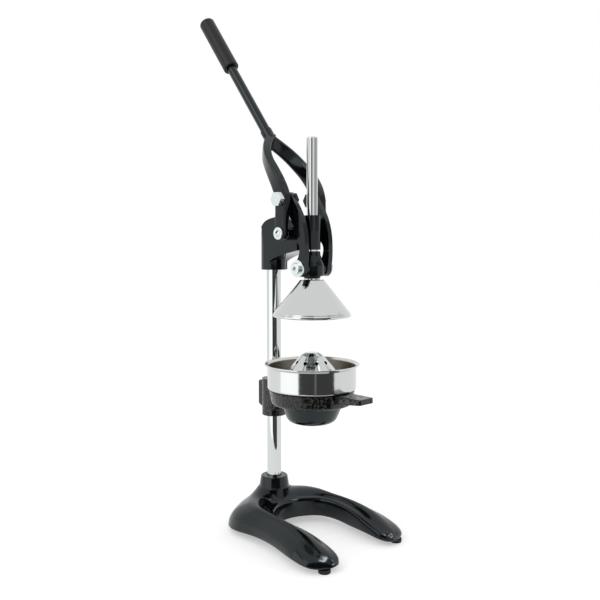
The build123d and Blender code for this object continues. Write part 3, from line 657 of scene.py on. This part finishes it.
def arm(sizes, hand):
    """One arm: a rounded rectangle, the power of its corners six, carried square to a smooth path through the
    stations. Below the fulcrum its width follows a circle, and above the crotch it runs to a point."""
    rows = through(ARM_STATIONS, 150)
    eye = np.linspace(-np.pi / 2, 0, 16)[:-1]
    radius = sizes.arm_width / 2
    low = np.repeat(rows[:1], len(eye), axis=0)
    low[:, 2] = radius * np.sin(eye) / sizes.arm_rise
    low[:, 4] = np.cos(eye)
    rows = np.concatenate([low, rows])
    fulcrum = FULCRUM / MM
    path = np.stack([
        rows[:, 0] * sizes.arm_outer,
        fulcrum[1] + rows[:, 1] * sizes.arm_rise,
        fulcrum[2] + rows[:, 2] * sizes.arm_rise,
    ], axis=1)
    way = unit(np.gradient(path, axis=0))
    turn = np.radians(rows[:, 5])
    thin = np.stack([np.cos(turn), np.sin(turn), 0 * turn], axis=1)
    thin = unit(thin - way * (thin * way).sum(axis=1, keepdims=True))
    wide = np.cross(way, thin)
    columns = 72
    angle = np.arange(columns) * 2 * np.pi / columns
    power = 2 / 6
    across = np.sign(np.cos(angle)) * np.abs(np.cos(angle)) ** power
    along = np.sign(np.sin(angle)) * np.abs(np.sin(angle)) ** power
    half_thick = 0.5 * sizes.arm_thick * rows[:, 3]
    half_wide = 0.5 * sizes.arm_width * rows[:, 4]
    grid = (
        path[:, None] + (half_thick[:, None] * across)[:, :, None] * thin[:, None]
        + (half_wide[:, None] * along)[:, :, None] * wide[:, None]
    )
    first, last = (np.repeat(path[end, None, None], columns, axis=1) for end in (0, -1))
    grid = np.concatenate([first, grid, last])
    return grid * np.array([hand, 1, 1])


def collar(sizes):
    """Handle collar: a rounded butt, a straight wall and a chamfered mouth, turned round the handle axis."""
    tube_low, tube_high = (np.array(corner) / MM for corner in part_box("handle_tube"))
    way = np.array([0.0, np.sin(sizes.lean), np.cos(sizes.lean)])
    # Foot of the handle axis: the tube's lowest corner is its radius below the axis at its end
    tube_radius = (tube_high[0] - tube_low[0]) / 2
    foot = np.array([0.0, tube_low[1] + tube_radius * way[2], tube_low[2] + tube_radius * way[1]])
    radius = sizes.collar_radius
    turn = np.linspace(0, np.pi / 2, 14)
    profile = [(-0.1 * radius - 0.8 * radius * np.cos(a), radius * np.sin(a)) for a in turn]
    profile += [(17.0, radius), (18.0, radius - 0.8), (18.0, tube_radius + 0.15), (17.2, tube_radius), (17.2, 0.0)]
    return turned(foot, way, profile, count=72)


class JUICER_OT_fork(bpy.types.Operator):
    """Cast the lever fork: two arms that meet in the handle collar"""

    bl_idname = "juicer.fork"
    bl_label = "Lever fork"

    def execute(self, context):
        sizes = in_mm(context.scene.juicer_sizes)
        piece(
            "swept_lever_fork", [arm(sizes, 1), arm(sizes, -1), collar(sizes)], "hand_lever",
            bpy.data.materials["gloss_black_enamel"], "lever_fork",
        )
        return {"FINISHED"}


# Screw heads on the fulcrum


def socket_head(origin, way, radius, thick, flats):
    """Head of a socket screw: profile turned round its axis, whose inner rows follow a hexagon: the radius
    there is half the flats over the cosine of the angle from the nearest flat."""
    turn = np.linspace(0, np.pi / 2, 7)
    soft = 1.6
    rows = [(0.0, 0.0, 0), (0.0, radius, 0)]
    rows += [(thick - soft + soft * np.sin(a), radius - soft + soft * np.cos(a), 0) for a in turn]
    rows += [
        (thick, 1.22 * flats / 2, 0), (thick - 0.5, flats / 2, 1), (thick - 3.2, flats / 2, 1),
        (thick - 3.6, 0.0, 0),
    ]

    def reach(profile, angle):
        """Radius by direction: along the hexagon in the rows marked 1, the same all round in the others."""
        hexagon = 1 / np.cos((angle % (np.pi / 3)) - np.pi / 6)
        on_hexagon = np.array([row[2] for row in rows])[:, None] == 1
        return profile[:, 1:2] * np.where(on_hexagon, hexagon, 1.0)

    return turned(origin, way, [row[:2] for row in rows], count=72, reach=reach)


class JUICER_OT_screws(bpy.types.Operator):
    """Turn the socket screws of the fulcrum"""

    bl_idname = "juicer.screws"
    bl_label = "Fulcrum screws"

    def execute(self, context):
        sizes = in_mm(context.scene.juicer_sizes)
        thick, flats = 4.0, 8.0
        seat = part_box("fulcrum_bolts")[1][0] / MM - thick
        _, back, up = FULCRUM / MM
        heads = [
            socket_head((side * seat, back, up), (side, 0, 0), sizes.head_radius, thick, flats)
            for side in (-1, 1)
        ]
        piece("fulcrum_screw_heads", heads, "stand", bpy.data.materials["bright_zinc_plate"], "fulcrum_bolts")
        return {"FINISHED"}


# Press cone, its yoke and the reamer

RAM_AXIS = np.array([0.0, RAM[1] / MM, 0.0])  # where the upright axis of the ram meets the floor, in mm
UP = (0, 0, 1)


class JUICER_OT_press(bpy.types.Operator):
    """Spin the press cone with its rolled rim"""

    bl_idname = "juicer.press"
    bl_label = "Press cone"

    def execute(self, context):
        low, high = (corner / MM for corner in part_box("press_cone"))
        rim, hub, outer = low[2], high[2], high[0]
        hub_rise, bead = 2.8, 2.6
        top = hub - hub_rise
        turn = np.linspace(0, 1.35 * np.pi, 20)
        profile = [
            (top - 2.4, 6.2), (hub, 6.2), (hub, 10.7), (hub - 0.8, 11.5), (top, 11.8), (top, 16.6),
            (top - 0.5, 17.8), (rim + 2 * bead + 1.2, outer - 1.9),
        ]
        # Bead: part of a circle from the flank out, down and back in
        profile += [
            (rim + bead + bead * np.cos(a + 0.35), outer - bead + bead * np.sin(a + 0.35)) for a in turn
        ]
        profile += [(rim + 2 * bead, outer - 2.6 * bead), (top - 2.4, 15.6)]
        cone = turned(RAM_AXIS, UP, profile + profile[:1], count=160)
        piece("spun_press_cone", [cone], "ram", bpy.data.materials["polished_stainless_sheet"], "press_cone")
        return {"FINISHED"}


class JUICER_OT_yoke(bpy.types.Operator):
    """Turn the flared yoke over the press cone, with the barrel that takes the link bolts"""

    bl_idname = "juicer.yoke"
    bl_label = "Yoke"

    def execute(self, context):
        low, high = (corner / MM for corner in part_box("yoke"))
        pin = middle("yoke_bolts")[2] / MM
        sleeve = [
            (low[2], 0.0), (low[2], 17.2), (low[2] + 0.8, 18.0), (pin + 4.2, 18.0), (pin + 10.0, 16.2),
            (pin + 18.6, 12.4), (high[2] - 0.8, 12.0), (high[2], 11.2), (high[2], 0.0),
        ]
        barrel = [
            (low[0], 0.0), (low[0], 9.5), (low[0] + 0.8, 10.3), (high[0] - 0.8, 10.3), (high[0], 9.5),
            (high[0], 0.0),
        ]
        sheets = [
            turned(RAM_AXIS, UP, sleeve, count=96),
            turned(RAM_AXIS + np.array([0, 0, pin]), (1, 0, 0), barrel, count=72),
        ]
        piece("flared_yoke", sheets, "ram", bpy.data.materials["gloss_black_enamel"], "yoke")
        return {"FINISHED"}


FLUTES = 9
FLUTE_TURN = np.radians(-8.5)  # of the first flute from straight ahead
WALL_FOOT, WALL_HEAD = 52.6, 16.0  # radius of the fluted wall at its foot and at its head, in mm
HOLE_RADIUS, HOLE_DEPTH, HOLE_PITCH = 2.9, 3.0, 11.5  # of the strainer holes, and from row to row, in mm


def fluted_cone(axis, low, top):
    """Reamer: a circle whose radius is stretched to flat facets, each of nine ending in a shallow groove: the
    radius grows by the cosine of the angle from the facet's middle, then falls to the groove."""
    step = 2 * np.pi / FLUTES
    corner, groove = 0.36 * step, 0.5 * step
    facet = np.linspace(-corner, corner, 9)
    within = np.concatenate([facet, [corner + 0.07 * step, groove, groove + 0.07 * step]])
    shape = np.concatenate([1 / np.cos(facet), [0.965 / np.cos(corner), 0.93, 0.965 / np.cos(corner)]])
    angle = (np.arange(FLUTES)[:, None] * step + FLUTE_TURN + within).ravel()
    shape = np.tile(shape, FLUTES)
    # Rows: height, radius, and how strongly the flutes show
    rows = np.array([
        (low, 0, 0), (low, 55.6, 0), (low + 0.3, 56.4, 0), (low + 1.8, 56.4, 0), (low + 2.1, 56.0, 0),
        (low + 2.1, 53.4, 1), (low + 2.5, WALL_FOOT, 1), (top - 4.4, 16.4, 1), (top - 4.0, WALL_HEAD, 1),
        (top - 3.2, 14.9, 1), (top - 0.5, 10.4, 1), (top, 9.4, 1), (top, 0, 1),
    ])
    radius = rows[:, 1:2] * (1 + rows[:, 2:3] * (shape - 1))
    ring = np.stack([np.sin(angle), -np.cos(angle), 0 * angle], axis=1)
    return axis + radius[:, :, None] * ring + rows[:, 0][:, None, None] * np.array(UP)


class JUICER_OT_reamer(bpy.types.Operator):
    """Press the fluted reamer and punch its strainer holes"""

    bl_idname = "juicer.reamer"
    bl_label = "Reamer"

    def execute(self, context):
        low, high = (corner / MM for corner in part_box("reamer"))
        foot, top = low[2] + 4.0, high[2] + 1.0
        steel = bpy.data.materials["polished_stainless_sheet"]
        cone = solid("fluted_reamer", [fluted_cone(RAM_AXIS, foot, top)], steel)
        slope = (WALL_FOOT - WALL_HEAD) / (top - 4.0 - foot - 2.0)
        tilt = np.arctan2(1, slope)
        punches = []
        for k in range(FLUTES):
            facing = (k + 0.5) * 2 * np.pi / FLUTES + FLUTE_TURN
            way = np.array([np.sin(facing) * np.sin(tilt), -np.cos(facing) * np.sin(tilt), np.cos(tilt)])
            for row in range(3):
                z = top - 14 - HOLE_PITCH * row
                reach = (WALL_HEAD + slope * (top - 4 - z)) * 0.95
                place = RAM_AXIS + np.array([reach * np.sin(facing), -reach * np.cos(facing), z])
                pin = [(-HOLE_DEPTH, 0.0), (-HOLE_DEPTH, HOLE_RADIUS), (4.0, HOLE_RADIUS), (4.0, 0.0)]
                punches.append(turned(place, way, pin, count=20))
        # The punches pass their painted-shade steel on to the walls of the holes they cut
        punch = solid("strainer_punches", punches, painted_shade_steel())
        unpunched = len(cone.data.polygons)
        tool = cone.modifiers.new("punch", "BOOLEAN")
        tool.operation, tool.solver, tool.object, tool.material_mode = "DIFFERENCE", "EXACT", punch, "TRANSFER"
        cone.data = bpy.data.meshes.new_from_object(cone.evaluated_get(context.evaluated_depsgraph_get()))
        cone.modifiers.clear()
        bpy.data.objects.remove(punch)
        if len(cone.data.polygons) <= unpunched:
            raise RuntimeError("The strainer holes were not punched into the reamer")
        cone.data.set_sharp_from_angle(angle=np.radians(14))
        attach(cone, "cup")
        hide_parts("reamer")
        return {"FINISHED"}


# Finishes and studio


class JuicerStudio(bpy.types.PropertyGroup):
    """Camera and light of the studio."""

    lens: FloatProperty(
        name="Lens", description="Focal length on a 36 mm sensor",
        default=45.04, min=10, subtype="DISTANCE_CAMERA",
    )
    place: FloatVectorProperty(
        name="Camera place", description="Camera from the foot of the post", default=(-0.7699, -0.8543, 0.4368),
        subtype="TRANSLATION", unit="LENGTH",
    )
    look: FloatVectorProperty(
        name="View direction", description="Direction the camera looks in",
        default=(0.69298, 0.71693, -0.07614), subtype="DIRECTION",
    )
    key: FloatProperty(
        name="Key", description="Power of the large soft light", default=7.0, min=0, unit="POWER"
    )
    sparkle: FloatProperty(
        name="Sparkle", description="Power of each strip light", default=2.6, min=0, unit="POWER"
    )
    fill: FloatProperty(name="Fill", description="Strength of the room", default=0.8, min=0)
    paper: FloatProperty(
        name="Paper", description="White added to the floor as the camera and mirrors see it",
        default=0.42, min=0,
    )
    board: FloatProperty(
        name="Board", description="Brightness of the white board, seen in polished parts", default=1.6, min=0
    )
    gap: FloatProperty(
        name="Gap", description="Brightness of the dark gap beyond the table", default=0.06, min=0
    )


class JUICER_OT_finishes(bpy.types.Operator):
    """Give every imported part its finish"""

    bl_idname = "juicer.finishes"
    bl_label = "Finish the parts"

    def execute(self, context):
        colours = context.scene.juicer_colours
        dress(
            gloss_enamel(colours.enamel), "base_casting", "head_casting", "lever_fork", "link_near", "link_far",
            "yoke", "juice_funnel", "handle_tube",
        )
        dress(hammered_enamel(colours.coat), "cup_bracket")
        dress(bright_chrome(colours.chrome), "post", "ram_rod")
        dress(spun_stainless("polished_stainless_sheet", colours.steel, RAM)[0], "press_cone", "reamer")
        cup, surface = spun_stainless("polished_stainless_cup", colours.steel, RAM, 0.1, 0.17)
        rim_to_wall = 4.95
        dull_inside(cup, surface, RAM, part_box("juice_cup")[1][0] / MM - rim_to_wall, colours.cup_inside)
        dress(cup, "juice_cup")
        dress(
            zinc_plate(colours.zinc), "crank_bolt_near", "fulcrum_bolts", "fulcrum_washers", "yoke_bolts",
            "yoke_washers",
        )
        dress(
            black_oxide(colours.oxide), "crank_bolt_far", "crank_nut_near", "crank_nut_far", "cone_top_washer",
            "cone_inner_washer", "cone_nut", "collar_pin", "base_set_screw", "bracket_set_screw", "head_set_screw",
        )
        dress(dipped_vinyl(colours.vinyl), "handle_grip")
        dress(foot_rubber(colours.rubber), "rubber_feet")
        dress(sintered_bronze(colours.bronze), "guide_bushes")
        return {"FINISHED"}


def card(name, start, end, low, high, strength):
    """Upright studio card between two points on plan, which only polished surfaces show."""
    mesh = bpy.data.meshes.new(name)
    mesh.from_pydata([(*start, low), (*end, low), (*end, high), (*start, high)], [], [(0, 1, 2, 3)])
    panel = bpy.data.objects.new(name, mesh)
    bpy.context.scene.collection.objects.link(panel)
    panel.location = (0, POST[1], 0)
    for ray in ("camera", "diffuse", "transmission", "volume_scatter", "shadow"):
        setattr(panel, f"visible_{ray}", False)
    material, _ = new_material(
        name, linear("#000000"), 0.0, 1.0,
        Specular_IOR_Level=0.0, Emission_Color=(1, 1, 1, 1), Emission_Strength=strength,
    )
    mesh.materials.append(material)


def shows_background(material):
    """1 for rays that show the background as it is: from the camera, mirrored, or through something clear."""
    path = add_node(material, "ShaderNodeLightPath")
    shown = path.outputs["Is Camera Ray"]
    for ray in ("Is Glossy Ray", "Is Transmission Ray"):
        either = add_node(material, "ShaderNodeMath", {0: shown, 1: path.outputs[ray]}, operation="MAXIMUM")
        shown = either.outputs["Value"]
    return shown


def aim(place, target):
    """Matrix of an object at place whose local -Z looks at the target, with +Y up."""
    turn = (target - place).to_track_quat("-Z", "Y")
    return Matrix.LocRotScale(place, turn, None)


def lay_floor(scene, studio):
    """A wide sheet at z = 0 that the camera sees as white paper, which keeps the shadow."""
    span = 6.0
    mesh = bpy.data.meshes.new("studio_floor")
    corners = [(-span, -span, 0), (span, -span, 0), (span, span, 0), (-span, span, 0)]
    mesh.from_pydata(corners, [], [(0, 1, 2, 3)])
    floor = bpy.data.objects.new("studio_floor", mesh)
    scene.collection.objects.link(floor)
    paper, surface = new_material(
        "white_paper_floor", linear("#e2e2e2"), 0.0, 0.9, Specular_IOR_Level=0.1, Emission_Color=(1, 1, 1, 1)
    )
    mesh.materials.append(paper)
    seen = add_node(
        paper, "ShaderNodeMapRange", {"Value": shows_background(paper)}, To_Min=0.0, To_Max=studio.paper
    )
    paper.node_tree.links.new(seen.outputs["Result"], surface.inputs["Emission Strength"])


def light_room(scene, studio):
    """A room that is white to the camera and in the metal, and a little dimmer as light."""
    world = bpy.data.worlds.new("studio_room")
    world.use_nodes = True
    scene.world = world
    background = world.node_tree.nodes["Background"]
    background.inputs["Color"].default_value = (1, 1, 1, 1)
    strength = add_node(
        world, "ShaderNodeMapRange", {"Value": shows_background(world)}, To_Min=studio.fill, To_Max=1.0
    )
    world.node_tree.links.new(strength.outputs["Result"], background.inputs["Strength"])


def stand_cards(studio):
    """The dark gap beyond the front of the table, the white board on its left, a slit of light between them, and
    upper cards round the ram, each from one angle to another off the camera's side, with its brightness."""
    corner, right, back = (-0.407, -0.18), (0.019, -0.303), (-0.625, 0.42)
    card("dark_gap", corner, right, 0.041, 0.40, studio.gap)
    card("white_board", back, corner, 0.02, 0.75, studio.board)
    card("slit", (-0.136, -0.2555), (-0.129, -0.2575), 0.045, 0.40, 0.36)
    streaks = ((-78, -56, 0.62), (-32, -13, 0.48), (-13, 6, 0.14), (46, 68, 0.36), (68, 112, 0.52))
    low, high, distance = 0.46, 0.69, 0.45
    ram = Vector((RAM[0], RAM[1] - POST[1]))
    facing = np.arctan2(studio.place[1] - ram[1], studio.place[0] - ram[0])
    for start, end, strength in streaks:
        ends = [facing + np.radians(angle) for angle in (start, end)]
        ends = [(ram[0] + distance * np.cos(angle), ram[1] + distance * np.sin(angle)) for angle in ends]
        card(f"streak_{start}", *ends, low, high, strength)


def hang_lamps(scene, studio):
    """One large soft box high on the left, and two strips high on the right that light only the base and the
    cup bracket, where they glint."""
    target = Vector((0, POST[1], 0.2))
    castings = bpy.data.collections.new("glinting_castings")
    for thing in scene.objects:
        if thing.type == "MESH" and thing.name.split(".")[0] in ("horseshoe_base", "cup_bracket"):
            castings.objects.link(thing)
    lamps = (
        ("key_softbox", (-1.6, 0.2, 1.7), 1.2, 1.2, studio.key),
        ("near_strip", (0.50, -0.56, 1.42), 0.12, 0.5, studio.sparkle),
        ("far_strip", (0.78, -0.60, 1.35), 0.12, 0.5, studio.sparkle),
    )
    for name, place, wide, tall, power in lamps:
        lamp = bpy.data.lights.new(name, "AREA")
        lamp.shape, lamp.size, lamp.size_y, lamp.energy = "RECTANGLE", wide, tall, power
        light = bpy.data.objects.new(name, lamp)
        scene.collection.objects.link(light)
        light.matrix_world = aim(Vector(place), target)
        if name.endswith("strip"):
            light.light_linking.receiver_collection = castings


def place_camera(scene, studio):
    """The camera where the photo was taken from, as fitted to it."""
    data = bpy.data.cameras.new("camera")
    data.sensor_width, data.lens = 36.0, studio.lens
    data.clip_start, data.clip_end = 0.05, 50
    camera = bpy.data.objects.new("camera", data)
    scene.collection.objects.link(camera)
    place = Vector(studio.place) + Vector((0, POST[1], 0))
    camera.matrix_world = aim(place, place + Vector(studio.look))
    scene.camera = camera


class JUICER_OT_studio(bpy.types.Operator):
    """Set up the floor, the room, the cards, the lamps and the camera"""

    bl_idname = "juicer.studio"
    bl_label = "Set up the studio"

    def execute(self, context):
        scene = context.scene
        studio = scene.juicer_studio
        scene.view_settings.view_transform = "Standard"
        lay_floor(scene, studio)
        light_room(scene, studio)
        stand_cards(studio)
        hang_lamps(scene, studio)
        place_camera(scene, studio)
        return {"FINISHED"}


class JUICER_PT_panel(bpy.types.Panel):
    """Lists the steps, the sizes, the colours and the studio in the sidebar"""

    bl_idname = "JUICER_PT_panel"
    bl_label = "Lever juicer"
    bl_space_type = "VIEW_3D"
    bl_region_type = "UI"
    bl_category = "Juicer"

    def draw(self, context):
        layout = self.layout
        for operator in OPERATORS:
            layout.operator(operator.bl_idname)
        for group, _ in GROUPS:
            values = getattr(context.scene, group)
            for name in fields(values):
                layout.prop(values, name)


GROUPS = (("juicer_sizes", JuicerSizes), ("juicer_colours", JuicerColours), ("juicer_studio", JuicerStudio))
OPERATORS = (
    JUICER_OT_finishes, JUICER_OT_base, JUICER_OT_fork, JUICER_OT_screws, JUICER_OT_press, JUICER_OT_yoke,
    JUICER_OT_reamer, JUICER_OT_studio,
)


def register():
    for name, group in GROUPS:
        bpy.utils.register_class(group)
        setattr(bpy.types.Scene, name, PointerProperty(type=group))
    for operator in OPERATORS:
        bpy.utils.register_class(operator)
    bpy.utils.register_class(JUICER_PT_panel)


def unregister():
    bpy.utils.unregister_class(JUICER_PT_panel)
    for operator in reversed(OPERATORS):
        bpy.utils.unregister_class(operator)
    for name, group in reversed(GROUPS):
        delattr(bpy.types.Scene, name)
        bpy.utils.unregister_class(group)


def main():
    register()
    bpy.ops.juicer.finishes()
    bpy.ops.juicer.base()
    bpy.ops.juicer.fork()
    bpy.ops.juicer.screws()
    bpy.ops.juicer.press()
    bpy.ops.juicer.yoke()
    bpy.ops.juicer.reamer()
    bpy.ops.juicer.studio()


if __name__ == "__main__":
    main()
